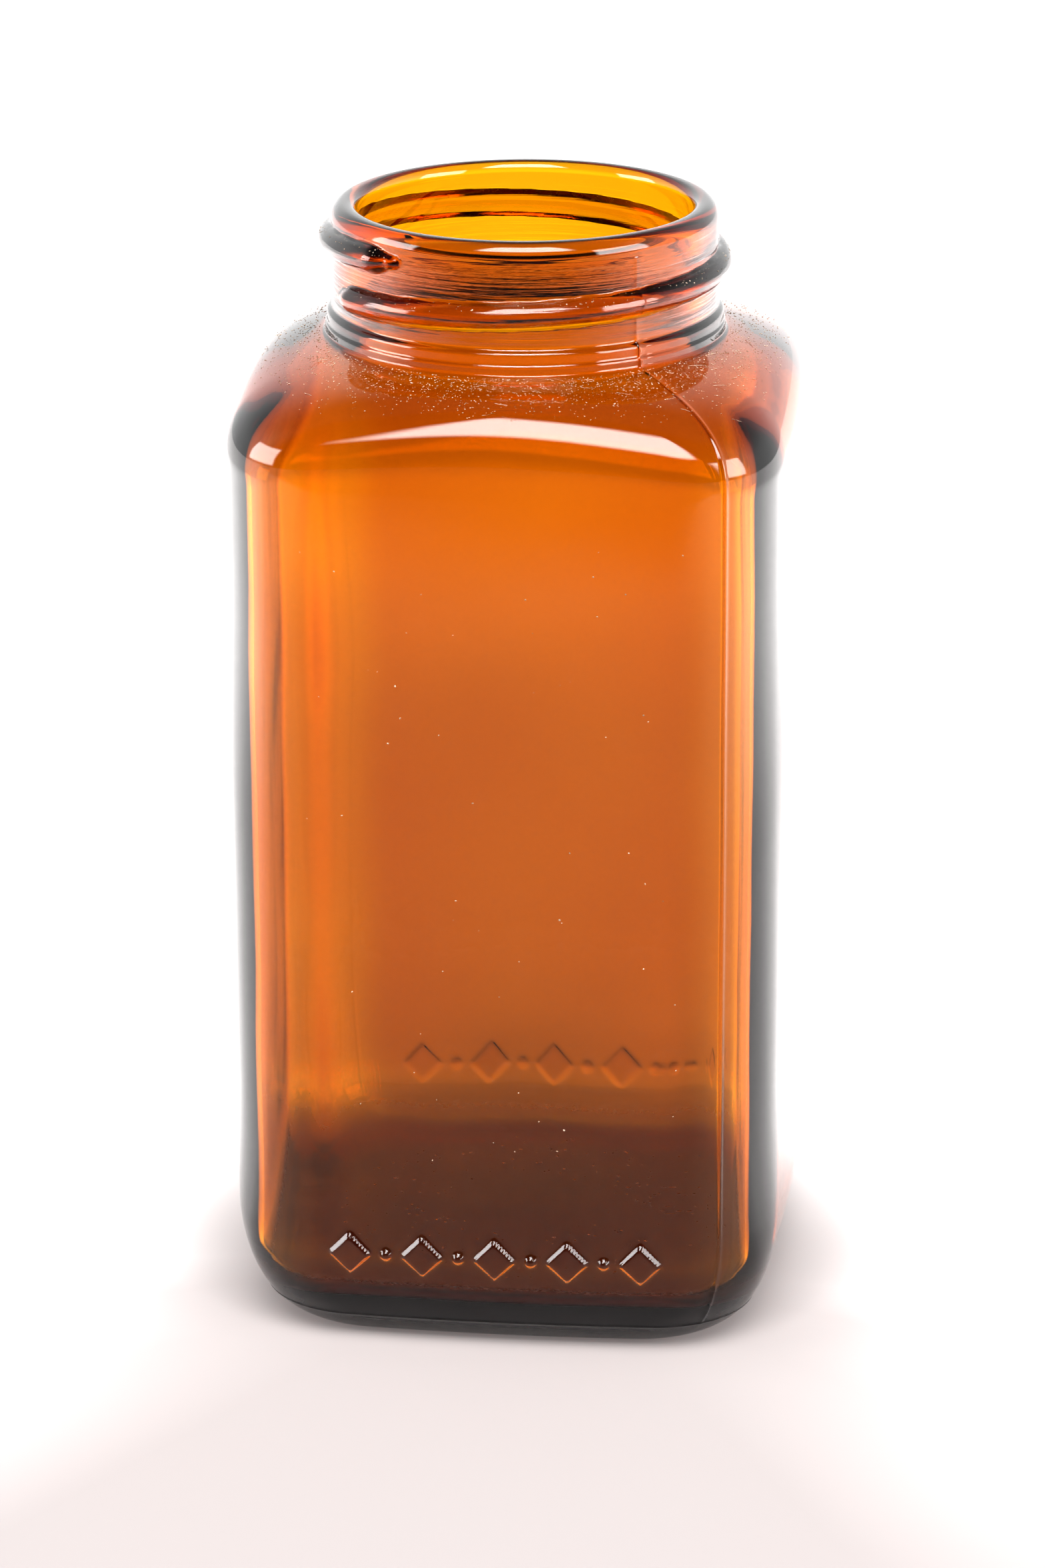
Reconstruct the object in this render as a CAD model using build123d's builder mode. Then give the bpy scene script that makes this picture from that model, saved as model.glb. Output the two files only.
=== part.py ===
from build123d import *
import os
from math import cos, radians, sin

# A square amber glass vial with a wide screw neck, for tablets. The real one is a single piece of blown
# glass. Here its glass is divided, without gaps or overlaps, into the regions that its mould shapes: a base,
# four flat walls, four rounded corners, a shoulder, a neck ring, a neck, a rounded lip and a screw thread.
# Origin: middle of the base, on the surface that the vial stands on. +Z up. -Y is the front. Millimetres.

# Body
face_half = 24.1          # half width between opposite faces, at the ends of a face
crown = 1.2               # how far the middle of each face bulges past its ends
corner_radius = 10.0      # vertical corners, outside
wall = 2.4                # glass thickness of the walls
inner_corner_radius = 6.5
floor_level = 5.4         # top of the thick glass floor
heel_radius = 7.5         # rounding between base and walls, outside
floor_fillet = 3.0        # rounding between floor and walls, inside
push_up_radius = 14.0     # shallow hollow under the base
push_up_depth = 0.8

# Shoulder: a shallow cone that rises to the neck, with a rounded edge all round
shoulder_level = 81.0     # top of the straight walls
cone_top_level = 90.0     # the cone's height at the neck ring
cone_slope = 0.20         # rise of the cone for each millimetre towards the axis
shoulder_edge_radius = 5.5
shoulder_wall = 2.6
inner_edge_radius = 3.0

# Screw finish, 38 mm nominal, single start
total_height = 101.8
neck_radius = 17.35       # outside of the neck wall
bore_radius = 14.95
neck_ring_radius = 17.95
neck_ring_top = 92.3
neck_ring_edge = 0.4
lip_base = 99.8
lip_outer_edge = 1.15     # rounding of the lip, outside and inside
lip_inner_edge = 0.95
thread_pitch = 25.4 / 6   # six threads to the inch
thread_bead_radius = 1.2
thread_start_level = 94.65
thread_start_angle = -151.0   # from +X, just left of the front
thread_sweep = 386.0

# Raised ornament low on the front and the back: a row of lozenges with a dot between each pair
mark_rise = 0.45
mark_level = 9.8
mark_spacing = 6.6
mark_count = 5
lozenge_width = 4.2
lozenge_height = 4.4
dot_radius = 0.55

reach = 2 * total_height  # larger than the vial, for cutting regions
flat_half = face_half - corner_radius


def crowned_square(half, radius):
    """Square outline with slightly bulging sides and rounded corners."""
    with BuildSketch() as outline:
        with BuildLine():
            ThreePointArc((-half, -half), (0, -half - crown), (half, -half))
            ThreePointArc((half, -half), (half + crown, 0), (half, half))
            ThreePointArc((half, half), (0, half + crown), (-half, half))
            ThreePointArc((-half, half), (-half - crown, 0), (-half, -half))
        make_face()
        fillet(outline.vertices(), radius)
    return outline.sketch


def room_under_cone(top_level):
    """Everything below a shallow cone that has this level at the neck ring."""
    drop = cone_slope * (reach - neck_ring_radius)
    rise = cone_slope * neck_ring_radius
    with BuildPart() as room:
        with BuildSketch(Plane.XZ):
            with BuildLine():
                Polyline((0, 0), (reach, 0), (reach, top_level - drop), (0, top_level + rise), (0, 0))
            make_face()
        revolve(axis=Axis.Z)
    return room.part


def block(low, high):
    """Keeps what lies inside a box between two corners."""
    low_corner = Vector(*low)
    high_corner = Vector(*high)
    with Locations((low_corner + high_corner) / 2):
        Box(*(high_corner - low_corner), mode=Mode.INTERSECT)


def save(piece, name):
    """Labels a finished piece and writes its STEP file."""
    piece.part.label = name
    export_step(piece.part, f"parts/{name}.step")


os.makedirs("parts", exist_ok=True)

# Outside of the body, solid, from the base to the shoulder's cone
outline_outside = crowned_square(face_half, corner_radius)
room_outside = room_under_cone(cone_top_level)
with BuildPart() as body_outside:
    add(outline_outside)
    extrude(amount=cone_top_level + 2)
    add(room_outside, mode=Mode.INTERSECT)
    shoulder_edges = [e for e in edges() if e.center().Z > shoulder_level]
    fillet(shoulder_edges, shoulder_edge_radius)
    base_edges = edges().group_by(Axis.Z)[0]
    fillet(base_edges, heel_radius)

# The room inside: body cavity and bore
outline_inside = Plane.XY.offset(floor_level) * crowned_square(face_half - wall, inner_corner_radius)
room_inside = room_under_cone(cone_top_level - shoulder_wall)
with BuildPart() as inside:
    add(outline_inside)
    extrude(amount=cone_top_level - floor_level)
    add(room_inside, mode=Mode.INTERSECT)
    upper_edges = [e for e in edges() if e.center().Z > shoulder_level]
    fillet(upper_edges, inner_edge_radius)
    fillet(edges().group_by(Axis.Z)[0], floor_fillet)
    with BuildSketch(Plane.XY.offset(shoulder_level)):
        Circle(bore_radius)
    extrude(amount=total_height - shoulder_level)

# Base: the thick floor and the lower part of the rounded heel, with the push-up under it
with BuildPart() as base:
    add(body_outside.part)
    block((-reach, -reach, 0), (reach, reach, floor_level))
    with BuildSketch():
        Circle(push_up_radius)
    extrude(amount=push_up_depth, taper=45, mode=Mode.SUBTRACT)
save(base, "base")

# Walls and corners: the upright glass between the floor and the shoulder
wall_boxes = {
    "wall_front": ((-flat_half, -reach), (flat_half, 0)),
    "wall_right": ((0, -flat_half), (reach, flat_half)),
    "wall_back": ((-flat_half, 0), (flat_half, reach)),
    "wall_left": ((-reach, -flat_half), (0, flat_half)),
    "corner_front_right": ((flat_half, -reach), (reach, -flat_half)),
    "corner_back_right": ((flat_half, flat_half), (reach, reach)),
    "corner_back_left": ((-reach, flat_half), (-flat_half, reach)),
    "corner_front_left": ((-reach, -reach), (-flat_half, -flat_half)),
}
for name, (low, high) in wall_boxes.items():
    with BuildPart() as upright:
        add(body_outside.part)
        add(inside.part, mode=Mode.SUBTRACT)
        block((*low, floor_level), (*high, shoulder_level))
    save(upright, name)

# Shoulder: from the top of the walls in to the neck ring
with BuildPart() as shoulder:
    add(body_outside.part)
    add(inside.part, mode=Mode.SUBTRACT)
    block((-reach, -reach, shoulder_level), (reach, reach, reach))
    with BuildSketch(Plane.XY.offset(shoulder_level)):
        Circle(neck_ring_radius)
    extrude(amount=reach, mode=Mode.SUBTRACT)
save(shoulder, "shoulder")

# Neck ring: the root of the neck, a little wider than the neck wall
with BuildPart() as neck_ring:
    with BuildSketch(Plane.XY.offset(shoulder_level)):
        Circle(neck_ring_radius)
    extrude(amount=neck_ring_top - shoulder_level)
    fillet(edges().group_by(Axis.Z)[-1], neck_ring_edge)
    add(inside.part, mode=Mode.SUBTRACT)
save(neck_ring, "neck_ring")

# Neck: the plain cylindrical wall that carries the thread
with BuildPart() as neck:
    with BuildSketch(Plane.XY.offset(neck_ring_top)):
        Circle(neck_radius)
        Circle(bore_radius, mode=Mode.SUBTRACT)
    extrude(amount=lip_base - neck_ring_top)
save(neck, "neck")

# Lip: the rounded sealing rim
with BuildPart() as lip:
    with BuildSketch(Plane.XY.offset(lip_base)):
        Circle(neck_radius)
        Circle(bore_radius, mode=Mode.SUBTRACT)
    extrude(amount=total_height - lip_base)
    rim_edges = edges().group_by(Axis.Z)[-1].sort_by(SortBy.RADIUS)
    fillet(rim_edges[0], lip_inner_edge)
    fillet(edges().group_by(Axis.Z)[-1].sort_by(SortBy.RADIUS)[-1], lip_outer_edge)
save(lip, "lip")

# Thread: one round bead that climbs the neck to the right for a little over one turn, with rounded ends
thread_end_angle = thread_start_angle + thread_sweep
thread_end_level = thread_start_level + thread_pitch * thread_sweep / 360
thread_ends = [
    (neck_radius * cos(radians(angle)), neck_radius * sin(radians(angle)), level)
    for angle, level in ((thread_start_angle, thread_start_level), (thread_end_angle, thread_end_level))
]
with BuildPart() as thread:
    with BuildLine() as climb:
        Helix(
            pitch=thread_pitch,
            height=thread_end_level - thread_start_level,
            radius=neck_radius,
            center=(0, 0, thread_start_level),
        )
    with BuildSketch(Plane(origin=climb.line @ 0, z_dir=climb.line % 0)):
        Circle(thread_bead_radius)
    sweep(path=climb.line, is_frenet=True)
thread_bead = thread.part.rotate(Axis.Z, thread_start_angle)
with BuildPart() as thread:
    add(thread_bead)
    with Locations(*thread_ends):
        Sphere(thread_bead_radius)
    with BuildSketch(Plane.XY.offset(neck_ring_top)):
        Circle(neck_radius)
    extrude(amount=total_height - neck_ring_top, mode=Mode.SUBTRACT)
save(thread, "thread")

# Ornament: the same row of raised lozenges and dots on the front and on the back
outline_proud = crowned_square(face_half + mark_rise, corner_radius)
with BuildPart() as body_proud:
    add(outline_proud)
    extrude(amount=shoulder_level)
for name, side in (("ornament_front", 1), ("ornament_back", -1)):
    with BuildPart() as ornament:
        with BuildSketch(Plane(origin=(0, 0, mark_level), x_dir=(side, 0, 0), z_dir=(0, -side, 0))):
            with GridLocations(mark_spacing, 0, mark_count, 1):
                Polygon(
                    (-lozenge_width / 2, 0),
                    (0, -lozenge_height / 2),
                    (lozenge_width / 2, 0),
                    (0, lozenge_height / 2),
                )
            with GridLocations(mark_spacing, 0, mark_count - 1, 1):
                Circle(dot_radius)
        extrude(amount=face_half + 2 * crown)
        add(body_proud.part, mode=Mode.INTERSECT)
        add(body_outside.part, mode=Mode.SUBTRACT)
    save(ornament, name)
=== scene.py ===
import random
from math import acos, atan2, cos, exp, hypot, pi, radians, sin, sqrt, tau

import bmesh
import bpy
from mathutils import Matrix, Vector, noise


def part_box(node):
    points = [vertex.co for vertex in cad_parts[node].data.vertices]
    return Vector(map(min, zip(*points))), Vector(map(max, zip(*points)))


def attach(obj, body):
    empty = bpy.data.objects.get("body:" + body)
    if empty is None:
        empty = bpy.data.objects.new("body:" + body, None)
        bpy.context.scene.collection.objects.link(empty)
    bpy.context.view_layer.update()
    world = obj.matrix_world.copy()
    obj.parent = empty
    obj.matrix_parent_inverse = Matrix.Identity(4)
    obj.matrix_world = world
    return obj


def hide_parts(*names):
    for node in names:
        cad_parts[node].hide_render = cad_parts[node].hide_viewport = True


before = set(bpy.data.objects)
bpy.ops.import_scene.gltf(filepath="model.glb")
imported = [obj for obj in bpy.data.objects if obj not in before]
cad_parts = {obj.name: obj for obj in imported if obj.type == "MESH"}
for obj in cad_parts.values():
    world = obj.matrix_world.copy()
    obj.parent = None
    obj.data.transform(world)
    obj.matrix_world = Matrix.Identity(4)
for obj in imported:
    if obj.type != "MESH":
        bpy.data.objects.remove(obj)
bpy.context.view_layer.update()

# The body: one wall of amber glass, blown in a square mould of two halves, with slightly bulging
# faces and rounded corners. The glass is drawn as rings round the upright axis. They make one closed
# skin, from the middle of the base up the outside, over the lip and down the inside to the floor.
MM = 0.001
MIDDLE = -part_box("wall_front")[0].y        # from the axis to the middle of a face
CROWN = 1.2 * MM                           # bulge of a face
FACE_HALF = MIDDLE - CROWN
CORNER = 10.0 * MM
COLUMNS = 256
SEAM_FRONT = radians(41.0)                 # azimuth of the front seam, from the front towards the right
SEAM_COLUMNS = (-0.9, -0.6, -0.4, -0.2, 0.0, 0.2, 0.4, 0.6, 0.9)    # degrees either side of a seam
SEAM_CLEAR = radians(0.55)                 # no other column comes nearer to those


def outline_radius(azimuth, half, crown, corner):
    """Distance from the axis to a square outline with bulging sides and rounded corners."""
    a = azimuth % (pi / 2)
    if a > pi / 4:
        a = pi / 2 - a
    bulge_radius = (half * half + crown * crown) / (2 * crown)
    m = bulge_radius - half - crown
    gap = bulge_radius - corner
    c = (-2 * m + sqrt(4 * m * m - 8 * (m * m - gap * gap))) / 4
    touch = c * bulge_radius / gap
    side = -m * cos(a) + sqrt(m * m * cos(a) ** 2 - m * m + bulge_radius ** 2)
    if side * sin(a) <= touch:
        return side
    return c * (sin(a) + cos(a)) + sqrt(corner ** 2 - (c * (sin(a) - cos(a))) ** 2)


def even_parts(path, count):
    """Places, in steps of the path, that divide the path into count equal lengths."""
    lengths = [0.0]
    for a, b in zip(path, path[1:]):
        lengths.append(lengths[-1] + hypot(b[0] - a[0], b[1] - a[1]))
    places = []
    i = 0
    for n in range(count + 1):
        wanted = lengths[-1] * n / count
        while i < len(path) - 2 and lengths[i + 1] < wanted:
            i += 1
        part = (wanted - lengths[i]) / (lengths[i + 1] - lengths[i])
        places.append(min(i + part, len(path) - 1))
    return places


def column_azimuths():
    """Azimuths of the upright columns of faces: evenly spaced, and closer at the two mould seams."""
    fine = 7200
    outline = []
    for i in range(fine + 1):
        r = outline_radius(tau * i / fine, FACE_HALF, CROWN, CORNER)
        outline.append((r * sin(tau * i / fine), -r * cos(tau * i / fine)))
    even = [tau * place / fine for place in even_parts(outline, COLUMNS)[:-1]]
    close = [seam + radians(offset) for seam in (SEAM_FRONT, SEAM_FRONT + pi) for offset in SEAM_COLUMNS]
    kept = [a for a in even if min(abs(a - c) for c in close) > SEAM_CLEAR]
    return sorted(kept + close)


azimuths = column_azimuths()
body_radii = [outline_radius(a, FACE_HALF, CROWN, CORNER) for a in azimuths]
rings = []                                 # each ring: (distance from the axis, height) for every azimuth

# The base and the heel: the underside is pushed up a little in the middle, and a round heel leads
# from the foot into the walls. A fine parting line runs round the heel where the mould's bottom
# plate met its halves.
PUSH_UP = 0.9 * MM
PUSH_UP_EDGE = 0.86                        # where the push-up ends, as a part of the foot
FOOT_PARTS = (0.03, 0.15, 0.3, 0.42, 0.52, 0.60, 0.66, 0.72, 0.77, 0.82, 0.86, 0.90, 0.94, 0.97)
ROUND_WITHIN = 0.3                         # a flat bottom's rings are round inside this part
HEEL_HIGH = 12.2 * MM
HEEL_IN = 6.6 * MM
HEEL_STEPS = 26
PARTING_LEVEL = 2.7 * MM
PARTING_CLEAR = 0.45 * MM
PARTING_ROWS = ((-0.3, 0.0), (-0.15, 0.02), (-0.05, 0.10), (0.05, 0.10), (0.15, 0.02), (0.3, 0.0))
FOOT = 1 - HEEL_IN / MIDDLE                # the foot's outline as a part of the body's outline


def smooth_step(x):
    """Zero below 0, one above 1 and a smooth change between."""
    x = min(1.0, max(0.0, x))
    return x * x * (3 - 2 * x)


def disc_ring(part, reach, radii, z):
    """A ring inside a flat bottom, square at its edge and round near its middle."""
    squareness = smooth_step((part - ROUND_WITHIN) / (1 - ROUND_WITHIN))
    return [(part * ((1 - squareness) * reach + squareness * r), z) for r in radii]


for part in FOOT_PARTS:
    z = PUSH_UP * (1 - smooth_step(part / PUSH_UP_EDGE))
    rings.append(disc_ring(part, FOOT * MIDDLE, [FOOT * r for r in body_radii], z))

heel_rows = [(HEEL_HIGH * (1 - cos(pi / 2 * i / HEEL_STEPS)), 0.0) for i in range(HEEL_STEPS + 1)]
heel_rows = [row for row in heel_rows if abs(row[0] - PARTING_LEVEL) > PARTING_CLEAR]
heel_rows += [(PARTING_LEVEL + up * MM, proud * MM) for up, proud in PARTING_ROWS]
for z, proud in sorted(heel_rows):
    down = (HEEL_HIGH - z) / HEEL_HIGH
    part = 1 - HEEL_IN * (1 - sqrt(max(0.0, 1 - down * down))) / MIDDLE
    rings.append([(part * r + proud, z) for r in body_radii])

# The walls and the shoulder: four upright faces, closed above by a round edge and a gently sloping
# shoulder that runs up to the neck.
WALL_ROWS = 30
SHOULDER_LEVEL = 80.73 * MM
SHOULDER_ROWS = 36
SHOULDER_POWER = 3.27                      # roundness of the shoulder's edge
SHOULDER_SLOPE = 0.218
NECK_ROOT = 18.3 * MM
ROOT_LEVEL = 90.1 * MM

for i in range(1, WALL_ROWS):
    z = HEEL_HIGH + (SHOULDER_LEVEL - HEEL_HIGH) * i / WALL_ROWS
    rings.append([(r, z) for r in body_radii])


def shoulder_point(t, outer, level, root, root_level):
    """Distance and height on a shoulder's profile, from its outer edge at t = 0 to its root at t = pi / 2."""
    across = cos(t) ** (2 / SHOULDER_POWER)
    up = sin(t) ** (2 / SHOULDER_POWER)
    r = root + (outer - root) * across
    return r, level + (root_level - level) * up - SHOULDER_SLOPE * (r - root) * up


def even_shoulder(rows, outer, level, root, root_level):
    """Values of t that divide a shoulder's profile into equal lengths."""
    fine = 2000
    path = [shoulder_point(pi / 2 * i / fine, outer, level, root, root_level) for i in range(fine + 1)]
    return [pi / 2 * place / fine for place in even_parts(path, rows)]


for t in even_shoulder(SHOULDER_ROWS, MIDDLE, SHOULDER_LEVEL, NECK_ROOT, ROOT_LEVEL):
    rings.append([shoulder_point(t, r, SHOULDER_LEVEL, NECK_ROOT, ROOT_LEVEL) for r in body_radii])

# The neck: a low stepped ring at its root, then a round neck with one screw thread, a bead that
# winds a little more than once round it and fades out at both ends.
NECK_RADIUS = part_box("neck")[1].x
RING_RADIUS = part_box("neck_ring")[1].x
RING_PROFILE = ((0.17, 90.16), (0.07, 90.28), (0.03, 90.45), (0.03, 90.8), (0.01, 91.0), (-0.05, 91.08),
                (-0.11, 91.16), (-0.13, 91.35), (-0.13, 91.8), (-0.15, 92.0), (-0.23, 92.15), (-0.39, 92.26),
                (-0.53, 92.36), (-0.59, 92.5))
for out, z in RING_PROFILE:
    rings.append([(RING_RADIUS + out * MM, z * MM)] * len(azimuths))

THREAD_START = radians(-61.0)
THREAD_SWEEP = radians(386.0)
THREAD_PITCH = 25.4 / 6 * MM
THREAD_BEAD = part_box("thread")[1].x - NECK_RADIUS
THREAD_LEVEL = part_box("thread")[0].z + THREAD_BEAD
THREAD_SPREAD = 1.06                       # half width of the bead as a part of its height
THREAD_FULLNESS = 0.6                      # lower is fuller
THREAD_TAPER = 2.5 * MM                    # length over which the bead grows at each end
THREAD_END = 0.5                           # its size at the very end
NECK_FROM = 92.65 * MM
NECK_ROWS = 63
NECK_STEP = 0.125 * MM
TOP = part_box("lip")[1].z
LIP_OUT = 1.2 * MM                         # the lip's outer edge: its rounding inwards and downwards
LIP_DOWN = 1.45 * MM


def thread_height(azimuth, z):
    """How far the thread's bead stands out from the neck at one point."""
    best = 0.0
    turn = (azimuth - THREAD_START) % tau
    for u in (turn - tau, turn, turn + tau):
        near = min(THREAD_SWEEP, max(0.0, u))
        along = (u - near) * NECK_RADIUS
        up = z - (THREAD_LEVEL + THREAD_PITCH * near / tau)
        from_end = min(near, THREAD_SWEEP - near) * NECK_RADIUS
        bead = THREAD_BEAD * (THREAD_END + (1 - THREAD_END) * smooth_step(from_end / THREAD_TAPER))
        d = hypot(along, up) / (bead * THREAD_SPREAD)
        if d < 1:
            best = max(best, bead * (1 - d * d) ** THREAD_FULLNESS)
    return best


for i in range(NECK_ROWS):
    z = NECK_FROM + NECK_STEP * i
    over = max(0.0, (z - (TOP - LIP_DOWN)) / LIP_DOWN)
    r = NECK_RADIUS - LIP_OUT * (1 - sqrt(1 - over * over))
    rings.append([(r + thread_height(a, z), z) for a in azimuths])

# The lip and the bore: the wall ends in a smooth, fire-polished lip, rounder outside than inside.
# The bore is plain and opens below into the room under the shoulder.
LIP_IN = 0.95 * MM
LIP_ROWS = 9
BORE = 14.98 * MM
BORE_ROWS = (100.0, 99.0, 98.0, 97.0, 96.0, 95.0, 94.0, 93.0, 92.0, 91.2, 90.6)
BORE_END = 90.2 * MM
CEILING_ROOT = 17.2 * MM
CEILING_LEVEL = 87.75 * MM
FLARE_ROWS = 8
lip_from = acos(sqrt(1 - ((NECK_FROM + NECK_STEP * NECK_ROWS - (TOP - LIP_DOWN)) / LIP_DOWN) ** 2))
for i in range(LIP_ROWS):
    t = lip_from + (pi / 2 - lip_from) * i / (LIP_ROWS - 1)
    r = NECK_RADIUS - LIP_OUT * (1 - cos(t))
    rings.append([(r, TOP - LIP_DOWN * (1 - sin(t)))] * len(azimuths))
outside_rings = len(rings)
for i in range(LIP_ROWS):
    t = pi / 2 * (1 - i / (LIP_ROWS - 1))
    rings.append([(BORE + LIP_IN * (1 - cos(t)), TOP - LIP_IN * (1 - sin(t)))] * len(azimuths))
for z in BORE_ROWS:
    rings.append([(BORE, z * MM)] * len(azimuths))
for i in range(1, FLARE_ROWS):
    t = pi / 2 * i / FLARE_ROWS
    r = CEILING_ROOT - (CEILING_ROOT - BORE) * cos(t)
    rings.append([(r, BORE_END - (BORE_END - CEILING_LEVEL) * sin(t))] * len(azimuths))

# The room inside: a smaller square with tight corners, under a sloping ceiling, with a rounded edge
# down to a floor that rises a little in the middle.
WALL = 2.4 * MM
ROOM_CORNER = 5.0 * MM
ROOM_SHOULDER = 80.0 * MM
ROOM_SHOULDER_ROWS = 28
FLOOR_LEVEL = 4.6 * MM
FLOOR_RISE = 0.6 * MM
FLOOR_RISE_EDGE = 0.9
FLOOR_PARTS = (0.94, 0.86, 0.77, 0.66, 0.55, 0.42, 0.3, 0.15, 0.03)
ROOM_HEEL_HIGH = 4.5 * MM
ROOM_HEEL_IN = 3.5 * MM
ROOM_MIDDLE = MIDDLE - WALL
ROOM_FOOT = 1 - ROOM_HEEL_IN / ROOM_MIDDLE
ROOM_WALL_ROWS = 24
ROOM_HEEL_ROWS = 16
room_radii = [outline_radius(a, FACE_HALF - WALL, CROWN, ROOM_CORNER) for a in azimuths]
ceiling = even_shoulder(ROOM_SHOULDER_ROWS, ROOM_MIDDLE, ROOM_SHOULDER, CEILING_ROOT, CEILING_LEVEL)
for t in reversed(ceiling):
    rings.append([shoulder_point(t, r, ROOM_SHOULDER, CEILING_ROOT, CEILING_LEVEL) for r in room_radii])
room_low = FLOOR_LEVEL + ROOM_HEEL_HIGH
for i in range(1, ROOM_WALL_ROWS):
    z = ROOM_SHOULDER + (room_low - ROOM_SHOULDER) * i / ROOM_WALL_ROWS
    rings.append([(r, z) for r in room_radii])
for i in range(ROOM_HEEL_ROWS + 1):
    t = pi / 2 * i / ROOM_HEEL_ROWS
    part = 1 - ROOM_HEEL_IN * (1 - cos(t)) / ROOM_MIDDLE
    rings.append([(part * r, room_low - ROOM_HEEL_HIGH * sin(t)) for r in room_radii])
for part in FLOOR_PARTS:
    z = FLOOR_LEVEL + FLOOR_RISE * (1 - smooth_step(part / FLOOR_RISE_EDGE))
    rings.append(disc_ring(part, ROOM_FOOT * ROOM_MIDDLE, [ROOM_FOOT * r for r in room_radii], z))

# The skin: every ring is drawn out from the one before it, and the first and last are closed.
# The faces under the raised ornament are cut finer.
skin = bmesh.new()
bmesh.ops.create_circle(skin, cap_ends=False, radius=1.0, segments=len(azimuths))


def place(verts, ring):
    """Moves one loop of points to its ring."""
    for vert, azimuth, (r, z) in zip(verts, azimuths, ring):
        vert.co = (r * sin(azimuth), -r * cos(azimuth), z)


loop = sorted(skin.verts, key=lambda v: atan2(v.co.x, -v.co.y) % tau)
place(loop, rings[0])
first_loop = list(loop)
for ring in rings[1:]:
    joined = [skin.edges.get((loop[i - 1], loop[i])) for i in range(len(loop))]
    made = bmesh.ops.extrude_edge_only(skin, edges=joined)["geom"]
    fresh = {v for v in made if isinstance(v, bmesh.types.BMVert)}
    loop = [next(e.other_vert(v) for e in v.link_edges if e.other_vert(v) in fresh) for v in loop]
    place(loop, ring)
bmesh.ops.contextual_create(skin, geom=first_loop)
bmesh.ops.contextual_create(skin, geom=loop)
ring_points = len(skin.verts)

MARK_LOW = 6.6 * MM
MARK_HIGH = 13.2 * MM
MARK_SIDE = 16.6 * MM
NEAR_FACE = 0.9 * MM                       # faces this close behind a face's plane are on its wall
patch = set()
for face in skin.faces:
    c = face.calc_center_median()
    if abs(c.x) < MARK_SIDE and abs(c.y) > FACE_HALF - NEAR_FACE and MARK_LOW < c.z < MARK_HIGH:
        patch.add(face)
bmesh.ops.subdivide_edges(skin, edges=list({e for f in patch for e in f.edges}), cuts=2, use_grid_fill=True)

# The moulded relief: a raised row of lozenges and dots low on the front and the back, a fine seam
# where the mould's halves met, and the gentle unevenness of blown glass, stronger on the inside.
MARK_LEVEL = (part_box("ornament_front")[0].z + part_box("ornament_front")[1].z) / 2
MARK_SPACING = 6.6 * MM
MARK_RISE = 0.55 * MM
MARK_RISE_BACK = 0.26 * MM
LOZENGE_WIDE = 2.1 * MM
LOZENGE_HIGH = 2.2 * MM
DOT = 0.62 * MM
LOZENGE_SLOPE = 0.20                       # widths of the rounded edges, as parts of the shapes
DOT_SLOPE = 0.5
MARK_MARGIN = 0.4 * MM
MARK_NEAR_FACE = 0.8 * MM
SEAM_WIDE = 0.20 * MM
SEAM_PROUD = 0.13 * MM
SEAM_PROUD_BACK = 0.035 * MM
SEAM_ON_NECK = 0.25                        # part of the seam that is left above the neck ring
RELIEF_FROM = 1.0 * MM                     # the relief fades in above the foot
RELIEF_FULL = 3.0 * MM
NECK_FADE = 92.3 * MM
NECK_FADE_HIGH = 0.8 * MM
RIPPLE_TOP = 100.0 * MM
ROOM_WALL_FROM = 8.0 * MM                  # below this the inside's unevenness is level, not sideways


def mark_height(x, z):
    """How much of the ornament's full rise one point of the front or back face has."""
    best = 0.0
    for n in (-2, -1, 0, 1, 2):
        inside = 1 - abs(x - n * MARK_SPACING) / LOZENGE_WIDE - abs(z - MARK_LEVEL) / LOZENGE_HIGH
        best = max(best, smooth_step(inside / LOZENGE_SLOPE))
    for n in (-1.5, -0.5, 0.5, 1.5):
        d = hypot(x - n * MARK_SPACING, z - MARK_LEVEL) / DOT
        best = max(best, smooth_step((1 - d) / DOT_SLOPE))
    return best


def seam_height(azimuth, r):
    """How far the ridge of a mould seam stands out at one azimuth."""
    best = 0.0
    for seam, proud in ((SEAM_FRONT, SEAM_PROUD), (SEAM_FRONT - pi, SEAM_PROUD_BACK)):
        off = (azimuth - seam + pi) % tau - pi
        best = max(best, proud * exp(-((off * r / SEAM_WIDE) ** 2)))
    return best


def ripple(point, size, amount):
    """A gentle unevenness with waves of about this size."""
    return amount * noise.noise(point / size)


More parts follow.
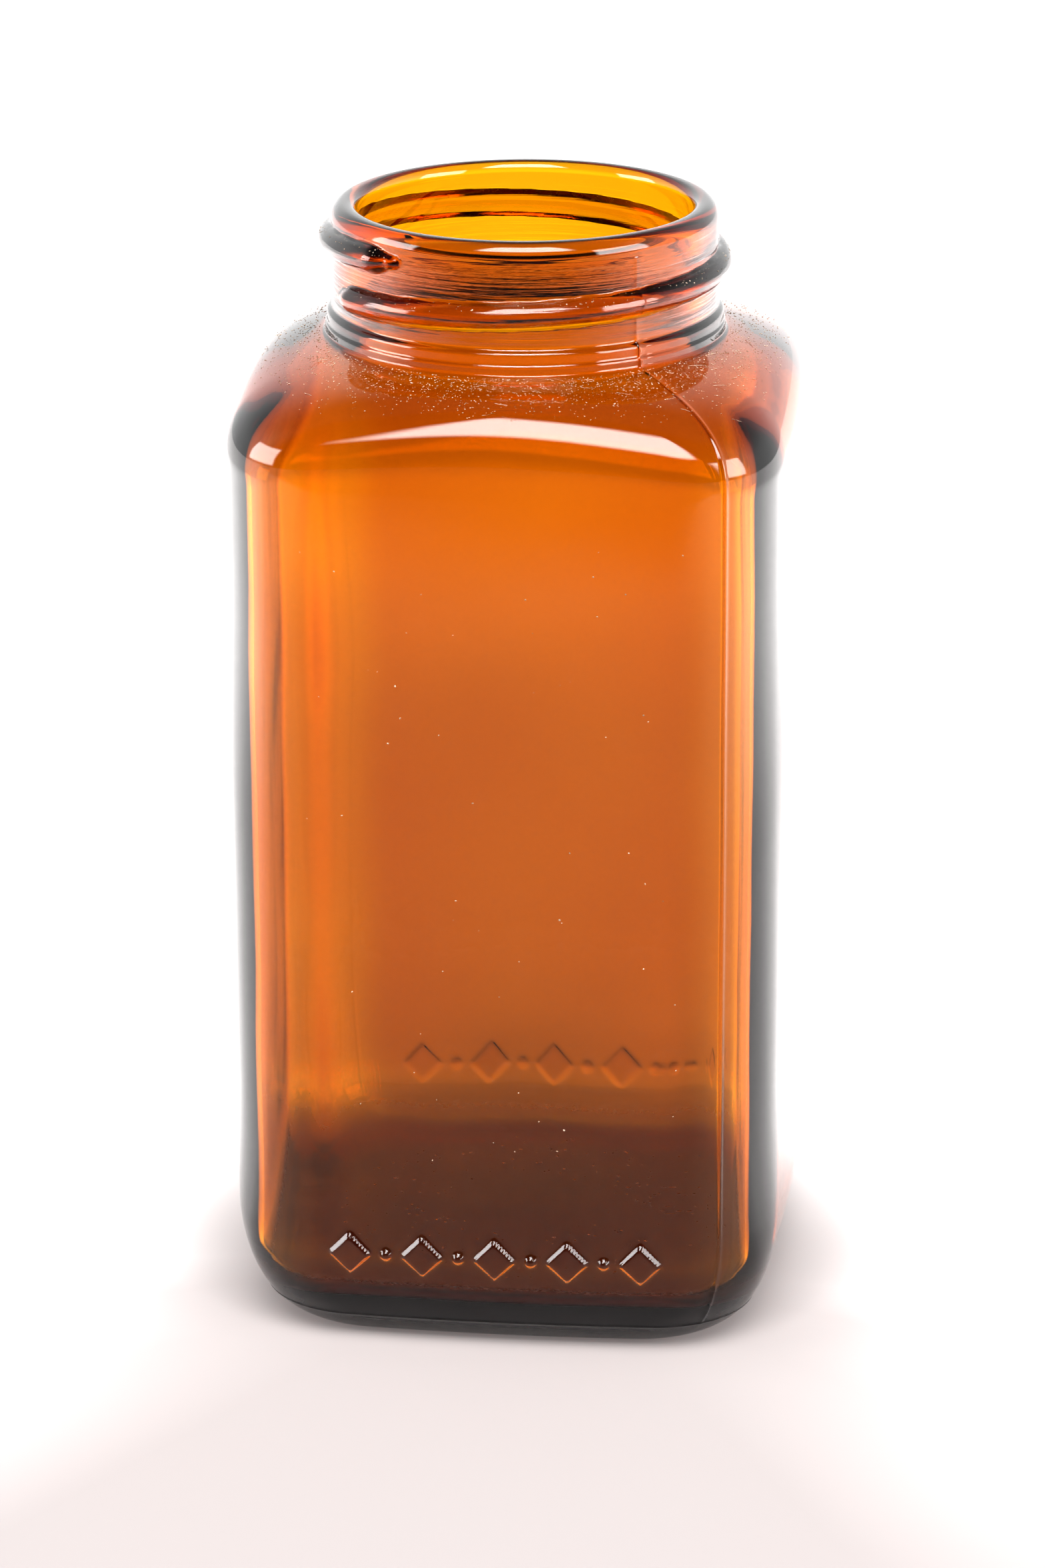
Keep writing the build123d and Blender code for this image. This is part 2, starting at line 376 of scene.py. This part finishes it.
room_side = skin.verts.layers.float.new("room_side")
outside_points = len(azimuths) * outside_rings
for number, vert in enumerate(skin.verts):
    x, y, z = vert.co
    r = hypot(x, y)
    azimuth = atan2(x, -y)
    outside = number < outside_points or number >= ring_points
    vert[room_side] = 0.0 if outside else 1.0
    push = 0.0
    if outside and RELIEF_FROM < z < RIPPLE_TOP:
        level = smooth_step((z - RELIEF_FROM) / RELIEF_FULL)
        seam_level = level * (1 - (1 - SEAM_ON_NECK) * smooth_step((z - NECK_FADE) / NECK_FADE_HIGH))
        push = seam_height(azimuth, r) * seam_level
        push += ripple(vert.co + Vector((3, 1, 2)), 11 * MM, 0.035 * MM) * level
    elif not outside and z < RIPPLE_TOP:
        push = ripple(vert.co + Vector((1, 7, 4)), 14 * MM, 0.16 * MM) + ripple(vert.co, 5 * MM, 0.03 * MM)
    if outside or z > ROOM_WALL_FROM:
        vert.co.x += push * sin(azimuth)
        vert.co.y -= push * cos(azimuth)
    else:
        vert.co.z += push * min(1.0, r / (4 * MM))
    on_face = abs(y) > FACE_HALF - MARK_NEAR_FACE and abs(x) < MARK_SIDE + MARK_MARGIN
    if on_face and MARK_LOW < z < MARK_HIGH:
        vert.co.y += MARK_RISE_BACK * mark_height(x, z) if y > 0 else -MARK_RISE * mark_height(x, z)

bmesh.ops.recalc_face_normals(skin, faces=skin.faces)
mesh = bpy.data.meshes.new("glass_skin")
skin.to_mesh(mesh)
skin.free()
for polygon in mesh.polygons:
    polygon.use_smooth = True
glass = bpy.data.objects.new("vial_glass", mesh)
bpy.context.scene.collection.objects.link(glass)

# The amber glass: clear and smooth, coloured right through, so that thick parts go nearly black.
# It has faint smears outside, fine level streaks from the mould on the neck, and a dull, dirty film
# on the floor inside. Levels and distances are in metres, as the nodes read them.
AMBER = (0.9165, 0.797, 0.05, 1)
AMBER_DEPTH = 2400.0
NECK_START = (0.0922, 0.0935)              # the streaked part of the neck fades in and out
NECK_STOP = (0.0990, 0.1004)
NECK_SIDE = (0.0160, 0.0168)
DULL_FLOOR = (0.0060, 0.0078)
FLOOR_DULLNESS = 0.28
GRIME_DULLNESS = 0.10
SMEAR_DULLNESS = 0.03
NECK_DULLNESS = 0.05
WAVE_HEIGHT = 0.12
GRIME_HEIGHT = 0.10


class Wires:
    """Adds value nodes to one node tree and joins them up."""

    def __init__(self, tree):
        self.nodes = tree.nodes
        self.links = tree.links

    def put(self, value, socket):
        """Sets a socket to a number, or links it."""
        if isinstance(value, (int, float)):
            socket.default_value = value
        else:
            self.links.new(value, socket)

    def math(self, kind, a, b=0.0):
        node = self.nodes.new("ShaderNodeMath")
        node.operation = kind
        self.put(a, node.inputs[0])
        self.put(b, node.inputs[1])
        return node.outputs["Value"]

    def ease(self, value, low, high, start, end):
        """A smooth change from start to end while the value goes from low to high."""
        node = self.nodes.new("ShaderNodeMapRange")
        node.interpolation_type = "SMOOTHSTEP"
        self.links.new(value, node.inputs["Value"])
        for name, number in (("From Min", low), ("From Max", high), ("To Min", start), ("To Max", end)):
            node.inputs[name].default_value = number
        return node.outputs["Result"]

    def speckle(self, place, scale, detail, stretch=(1, 1, 1)):
        """Noise over a place, finer along the stretched directions."""
        mapping = self.nodes.new("ShaderNodeMapping")
        mapping.inputs["Scale"].default_value = stretch
        self.links.new(place, mapping.inputs["Vector"])
        node = self.nodes.new("ShaderNodeTexNoise")
        node.inputs["Scale"].default_value = scale
        node.inputs["Detail"].default_value = detail
        self.links.new(mapping.outputs["Vector"], node.inputs["Vector"])
        return node.outputs["Fac"]

    def apart(self, place):
        """The three coordinates of a place."""
        node = self.nodes.new("ShaderNodeSeparateXYZ")
        self.links.new(place, node.inputs["Vector"])
        return node.outputs["X"], node.outputs["Y"], node.outputs["Z"]

    def reach(self, x, y):
        """Distance from the upright axis."""
        return self.math("SQRT", self.math("ADD", self.math("MULTIPLY", x, x), self.math("MULTIPLY", y, y)))


amber = bpy.data.materials.new("amber_glass")
amber.use_nodes = True
amber.node_tree.nodes.clear()
wires = Wires(amber.node_tree)
shader = wires.nodes.new("ShaderNodeBsdfPrincipled")
shader.inputs["Base Color"].default_value = (1, 1, 1, 1)
shader.inputs["IOR"].default_value = 1.51
shader.inputs["Transmission Weight"].default_value = 1.0
depth = wires.nodes.new("ShaderNodeVolumeAbsorption")
depth.inputs["Color"].default_value = AMBER
depth.inputs["Density"].default_value = AMBER_DEPTH
here = wires.nodes.new("ShaderNodeTexCoord").outputs["Object"]
x_at, y_at, height = wires.apart(here)
inside = wires.nodes.new("ShaderNodeAttribute")
inside.attribute_name = "room_side"
on_neck = wires.math("MULTIPLY", wires.ease(height, *NECK_START, 0.0, 1.0),
                     wires.ease(height, *NECK_STOP, 1.0, 0.0))
on_neck = wires.math("MULTIPLY", on_neck, wires.ease(wires.reach(x_at, y_at), *NECK_SIDE, 0.0, 1.0))
on_floor = wires.math("MULTIPLY", wires.ease(height, *DULL_FLOOR, 1.0, 0.0), inside.outputs["Fac"])
streaks = wires.speckle(here, 120.0, 3.0, (0.6, 0.6, 22.0))
smears = wires.ease(wires.speckle(here, 60.0, 4.0), 0.56, 0.72, 0.0, 1.0)
grime = wires.ease(wires.speckle(here, 1500.0, 5.0), 0.42, 0.70, 0.0, 1.0)
dull_floor = wires.math("MULTIPLY", on_floor,
                        wires.math("ADD", FLOOR_DULLNESS, wires.math("MULTIPLY", grime, GRIME_DULLNESS)))
dull_outside = wires.math("ADD", wires.math("MULTIPLY", smears, SMEAR_DULLNESS),
                          wires.math("MULTIPLY", on_neck, NECK_DULLNESS))
wires.put(wires.math("ADD", dull_outside, dull_floor), shader.inputs["Roughness"])
relief = wires.math("ADD", wires.math("MULTIPLY", streaks, on_neck),
                    wires.math("MULTIPLY", wires.speckle(here, 150.0, 2.0), WAVE_HEIGHT))
grime_relief = wires.math("MULTIPLY", wires.math("MULTIPLY", grime, on_floor), GRIME_HEIGHT)
relief = wires.math("ADD", relief, grime_relief)
bump = wires.nodes.new("ShaderNodeBump")
bump.inputs["Strength"].default_value = 0.5
bump.inputs["Distance"].default_value = 0.00012
wires.put(relief, bump.inputs["Height"])
wires.put(bump.outputs["Normal"], shader.inputs["Normal"])
glass_end = wires.nodes.new("ShaderNodeOutputMaterial")
wires.put(shader.outputs["BSDF"], glass_end.inputs["Surface"])
wires.put(depth.outputs["Volume"], glass_end.inputs["Volume"])
mesh.materials.append(amber)

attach(glass, "root")
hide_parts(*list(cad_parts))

# Dust: tan grains that lie loose on the shoulder round the neck, on the thread, on the front wall
# and on the floor inside, with a few pale fibres on the shoulder. Each is a tiny faceted body.
SHOULDER_GRAINS = 3000
THREAD_GRAINS = 350
FLOOR_GRAINS = 260
WALL_GRAINS = 60
FIBRES = 45
FIBRE_PART = 0.42 * MM
FIBRE_THICK = 0.045 * MM
FIBRE_PARTS = 3
SHOULDER_GRAIN = (0.06, 0.17)              # smallest and largest grain in each place
THREAD_GRAIN = (0.05, 0.16)
FLOOR_GRAIN = (0.12, 0.40)
WALL_GRAIN = (0.08, 0.24)
SHOULDER_SPREAD = 3.6                      # millimetres from the neck
SHOULDER_REACH = 0.75                      # the dust stops this part of the way out
FLOOR_REACH = 18 * MM
FLOOR_DUST_LEVEL = FLOOR_LEVEL + 0.35 * MM
WALL_SPREAD = 0.62                         # azimuth either side of the front, in radians
WALL_DUST = (16, 78)
random.seed(7)
dust = bmesh.new()


def grain(spot, across, up):
    """One low grain of dust with its flat side along a surface."""
    turn = up.to_track_quat("Z", "Y").to_matrix().to_4x4()
    spin = Matrix.Rotation(random.uniform(0, tau), 4, "Z")
    size = Matrix.Diagonal((across, across * random.uniform(0.5, 1.0), across * 0.35, 1))
    bmesh.ops.create_icosphere(dust, subdivisions=1, radius=0.5,
                               matrix=Matrix.Translation(spot) @ turn @ spin @ size)


def on_shoulder(azimuth, across, above):
    """A spot above the shoulder, at a part of the way from the neck to the shoulder's edge."""
    edge = outline_radius(azimuth % tau, FACE_HALF, CROWN, CORNER)
    t = acos(across ** (SHOULDER_POWER / 2))
    r, z = shoulder_point(t, edge, SHOULDER_LEVEL, NECK_ROOT, ROOT_LEVEL)
    return Vector((r * sin(azimuth), -r * cos(azimuth), z + above))


for _ in range(SHOULDER_GRAINS):
    azimuth = random.gauss(radians(15), radians(80))
    edge = outline_radius(azimuth % tau, FACE_HALF, CROWN, CORNER)
    away = (0.15 + abs(random.gauss(0, SHOULDER_SPREAD))) * MM / (edge - NECK_ROOT)
    if away > SHOULDER_REACH:
        continue
    leaning = Vector((0.2 * sin(azimuth), -0.2 * cos(azimuth), 1))
    grain(on_shoulder(azimuth, away, 0.02 * MM), random.uniform(*SHOULDER_GRAIN) * MM, leaning)
for _ in range(THREAD_GRAINS):
    azimuth = radians(random.uniform(-60, 325))
    z = THREAD_LEVEL + THREAD_PITCH * (azimuth - THREAD_START) / tau
    lift = radians(random.uniform(25, 85))
    r = NECK_RADIUS + THREAD_BEAD * cos(lift)
    outward = Vector((cos(lift) * sin(azimuth), -cos(lift) * cos(azimuth), sin(lift)))
    spot = Vector((r * sin(azimuth), -r * cos(azimuth), z + THREAD_BEAD * sin(lift)))
    grain(spot, random.uniform(*THREAD_GRAIN) * MM, outward)
for _ in range(FLOOR_GRAINS):
    azimuth = random.uniform(0, tau)
    r = sqrt(random.random()) * FLOOR_REACH
    spot = Vector((r * sin(azimuth), -r * cos(azimuth), FLOOR_DUST_LEVEL))
    grain(spot, random.uniform(*FLOOR_GRAIN) * MM, Vector((0, 0, 1)))
for _ in range(WALL_GRAINS):
    azimuth = random.uniform(-WALL_SPREAD, WALL_SPREAD)
    r = outline_radius(azimuth % tau, FACE_HALF, CROWN, CORNER)
    spot = Vector((r * sin(azimuth), -r * cos(azimuth), random.uniform(*WALL_DUST) * MM))
    grain(spot, random.uniform(*WALL_GRAIN) * MM, Vector((0, -1, 0)))
for _ in range(FIBRES):
    azimuth = radians(random.choice((-50, 50)) + random.gauss(0, 25))
    spot = on_shoulder(azimuth, random.uniform(0.05, SHOULDER_REACH), 0.05 * MM)
    heading = random.uniform(0, tau)
    for _part in range(FIBRE_PARTS):
        heading += random.uniform(-0.7, 0.7)
        ahead = Vector((cos(heading), sin(heading), 0)) * FIBRE_PART
        turn = ahead.to_track_quat("X", "Z").to_matrix().to_4x4()
        size = Matrix.Diagonal((FIBRE_PART * 1.2, FIBRE_THICK, FIBRE_THICK, 1))
        bmesh.ops.create_icosphere(dust, subdivisions=1, radius=0.5,
                                   matrix=Matrix.Translation(spot) @ turn @ size)
        spot = spot + ahead

dust_mesh = bpy.data.meshes.new("settled_dust")
dust.to_mesh(dust_mesh)
dust.free()
dust_piece = bpy.data.objects.new("settled_dust", dust_mesh)
bpy.context.scene.collection.objects.link(dust_piece)
tan = bpy.data.materials.new("settled_dust")
tan.use_nodes = True
wires = Wires(tan.node_tree)
shader = wires.nodes["Principled BSDF"]
shader.inputs["Roughness"].default_value = 0.9
shades = wires.nodes.new("ShaderNodeValToRGB")
shades.color_ramp.elements[0].position = 0.35
shades.color_ramp.elements[0].color = (0.22, 0.15, 0.10, 1)
shades.color_ramp.elements[1].position = 0.65
shades.color_ramp.elements[1].color = (0.55, 0.45, 0.35, 1)
here = wires.nodes.new("ShaderNodeTexCoord").outputs["Object"]
wires.put(wires.speckle(here, 900.0, 2.0), shades.inputs["Fac"])
wires.put(shades.outputs["Color"], shader.inputs["Base Color"])
dust_mesh.materials.append(tan)
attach(dust_piece, "root")

# The floor: a plain pale sheet with painted light. A glow at the sides and behind stands for the light of
# side and back lamps falling on it, and an even glow lies over the whole sheet. The vial stands in its
# middle. Its far front is painted shade: it is nearly black in reflections and through the glass, standing
# for the unlit end of a studio, and pale when the camera sees it directly.
FLOOR_SHADE = (0.308, 0.279, 0.275, 1)
FLOOR_GLOW = 0.17
PAINTED_LIGHT_TOP = 5.0
# strength of the painted light at each bearing in degrees, from the front towards the right
painted_light_round = ((-180, 0.85), (-170, 0.8), (-158, 0.85), (-145, 1.4), (-131, 2.0), (-114, 2.5), (-81, 2.4),
              (-68, 1.0), (-50, 0.35), (-30, 0.0), (30, 0.0), (50, 0.3), (68, 0.9), (80, 2.2), (100, 2.6),
              (113, 3.0), (136, 2.9), (147, 2.1), (160, 1.25), (173, 1.0), (180, 0.85))
PAINTED_LIGHT_GROWS = (0.15, 0.25, 1.0, 1.9)        # metres from the axis, then the change in strength
PAINTED_LIGHT_FALLS = (0.30, 0.40, 0.0, 0.7)
PAINTED_LIGHT_NEAR = (0.02, 0.07)                   # it fades in round the foot
PAINTED_SHADE_FRONT = (-0.31, -0.25)
SHEET_SIZE = 3.0
sheet = bmesh.new()
bmesh.ops.create_grid(sheet, x_segments=2, y_segments=2, size=SHEET_SIZE)
sheet_mesh = bpy.data.meshes.new("floor")
sheet.to_mesh(sheet_mesh)
sheet.free()
ground = bpy.data.objects.new("floor", sheet_mesh)
bpy.context.scene.collection.objects.link(ground)
paper = bpy.data.materials.new("floor_sheet_painted_light")
paper.use_nodes = True
wires = Wires(paper.node_tree)
shader = wires.nodes["Principled BSDF"]
shader.inputs["Roughness"].default_value = 0.9
shader.inputs["Specular IOR Level"].default_value = 0.0
x_at, y_at, _z_at = wires.apart(wires.nodes.new("ShaderNodeTexCoord").outputs["Object"])
round_about = wires.math("ARCTAN2", x_at, wires.math("MULTIPLY", y_at, -1.0))
# painted light: a ramp of emission strength by bearing round the vial, strongest at the sides and behind
painted_light_ramp = wires.nodes.new("ShaderNodeValToRGB")
while len(painted_light_ramp.color_ramp.elements) < len(painted_light_round):
    painted_light_ramp.color_ramp.elements.new(0.5)
for element, (bearing_at, strength) in zip(painted_light_ramp.color_ramp.elements, painted_light_round):
    element.position = (bearing_at + 180) / 360
    element.color = (strength / PAINTED_LIGHT_TOP, strength / PAINTED_LIGHT_TOP, strength / PAINTED_LIGHT_TOP, 1)
wires.put(wires.math("ADD", wires.math("DIVIDE", round_about, tau), 0.5), painted_light_ramp.inputs["Fac"])
far_out = wires.reach(x_at, y_at)
fade = wires.math("SUBTRACT", wires.ease(far_out, *PAINTED_LIGHT_GROWS), wires.ease(far_out, *PAINTED_LIGHT_FALLS))
fade = wires.math("MULTIPLY", fade, wires.ease(far_out, *PAINTED_LIGHT_NEAR, 0.0, PAINTED_LIGHT_TOP))
# painted light: the floor's emission, the bearing ramp faded in round the foot, plus an even glow over the
# whole sheet
painted_floor_light = wires.math("ADD", wires.math("MULTIPLY", painted_light_ramp.outputs["Color"], fade), FLOOR_GLOW)
wires.put(painted_floor_light, shader.inputs["Emission Strength"])
shader.inputs["Emission Color"].default_value = (1, 0.99, 0.985, 1)
# painted shade: beyond the far front the floor's colour is nearly black for reflections and rays through the
# glass, standing for the unlit end of the studio; camera rays still see the pale colour
floor_colour_and_painted_shade = wires.nodes.new("ShaderNodeMix")
floor_colour_and_painted_shade.data_type = "RGBA"
floor_colour_and_painted_shade.inputs["A"].default_value = (0.01, 0.01, 0.01, 1)
floor_colour_and_painted_shade.inputs["B"].default_value = FLOOR_SHADE
straight_on = wires.nodes.new("ShaderNodeLightPath").outputs["Is Camera Ray"]
clear_of_painted_shade = wires.ease(y_at, *PAINTED_SHADE_FRONT, 0.0, 1.0)
wires.put(wires.math("MAXIMUM", clear_of_painted_shade, straight_on), floor_colour_and_painted_shade.inputs["Factor"])
wires.put(floor_colour_and_painted_shade.outputs["Result"], shader.inputs["Base Color"])
sheet_mesh.materials.append(paper)

# The studio light: soft boxes far away, given by the bearings and elevations at which the vial sees
# them, in degrees. One is high in front, one low at each side, and a pale backdrop is behind.
ROOM_GLOW = 0.04
BACKGROUND = 1.5                           # what the camera sees behind the sheet
BACKDROP_FROM = (60.0, 95.0)               # bearings to either side over which the backdrop begins
BACKDROP_FALLS = (15.0, 60.0, 2.0, 0.12)   # elevations, then the change in strength
KEY = ((-26.0, 40.0), (40.0, 74.0), 17.0, 4.0)
LEFT_BOX = ((-94.0, -62.0), (1.0, 27.0), 13.0)
RIGHT_BOX = ((50.0, 84.0), (2.0, 31.0), 13.0)
studio = bpy.data.worlds.new("studio")
bpy.context.scene.world = studio
studio.use_nodes = True
studio.node_tree.nodes.clear()
wires = Wires(studio.node_tree)
x_at, y_at, z_at = wires.apart(wires.nodes.new("ShaderNodeTexCoord").outputs["Generated"])
elevation = wires.math("MULTIPLY", wires.math("ARCSINE", z_at), 180 / pi)
bearing = wires.math("MULTIPLY", wires.math("ARCTAN2", x_at, wires.math("MULTIPLY", y_at, -1.0)), 180 / pi)


def window(value, low, high, soft):
    """One between low and high, with soft edges."""
    return wires.math("MULTIPLY", wires.ease(value, low - soft, low + soft, 0.0, 1.0),
                      wires.ease(value, high - soft, high + soft, 1.0, 0.0))


def soft_box(bearings, elevations, strength, soft=2.0):
    """A large soft light between these bearings and elevations, with edges this soft in degrees."""
    area = wires.math("MULTIPLY", window(bearing, *bearings, soft), window(elevation, *elevations, soft))
    return wires.math("MULTIPLY", area, strength)


backdrop = wires.math("MULTIPLY", wires.ease(wires.math("ABSOLUTE", bearing), *BACKDROP_FROM, 0.0, 1.0),
                      wires.ease(elevation, *BACKDROP_FALLS))
sky = ROOM_GLOW
for light in (backdrop, soft_box(*KEY), soft_box(*LEFT_BOX), soft_box(*RIGHT_BOX)):
    sky = wires.math("MAXIMUM", light, sky)
seen = wires.nodes.new("ShaderNodeMix")
seen.data_type = "FLOAT"
wires.put(wires.nodes.new("ShaderNodeLightPath").outputs["Is Camera Ray"], seen.inputs["Factor"])
wires.put(sky, seen.inputs["A"])
seen.inputs["B"].default_value = BACKGROUND
lamp = wires.nodes.new("ShaderNodeBackground")
wires.put(seen.outputs["Result"], lamp.inputs["Strength"])
lamp.inputs["Color"].default_value = (1, 1, 1, 1)
studio_end = wires.nodes.new("ShaderNodeOutputWorld")
wires.put(lamp.outputs["Background"], studio_end.inputs["Surface"])

# The camera: a long lens a little above the vial and slightly to its right, aimed near its middle.
TURN = radians(7.0)
RAISE = radians(18.72)
ROLL = radians(-0.19)
DISTANCE = 0.553
LENS = 137.755
AIM_SIDE = -0.38 * MM
AIM_HEIGHT = 46.7 * MM
back = Vector((sin(TURN) * cos(RAISE), -cos(TURN) * cos(RAISE), sin(RAISE)))
level = Vector((cos(TURN), sin(TURN), 0))
upright = level.cross(-back)
right_edge = cos(ROLL) * level + sin(ROLL) * upright
top_edge = cos(ROLL) * upright - sin(ROLL) * level
lens = bpy.data.cameras.new("camera")
lens.sensor_width = 36
lens.lens = LENS
lens.clip_start = 0.01
camera = bpy.data.objects.new("camera", lens)
bpy.context.scene.collection.objects.link(camera)
axes = Matrix((right_edge, top_edge, back)).transposed().to_4x4()
axes.translation = AIM_SIDE * level + Vector((0, 0, AIM_HEIGHT)) + DISTANCE * back
camera.matrix_world = axes

scene = bpy.context.scene
scene.camera = camera
scene.view_settings.view_transform = "Standard"
scene.view_settings.gamma = 1 / 1.2
scene.cycles.max_bounces = 32
scene.cycles.transmission_bounces = 32
scene.cycles.glossy_bounces = 16
scene.cycles.diffuse_bounces = 3
scene.cycles.caustics_refractive = True
scene.cycles.caustics_reflective = True
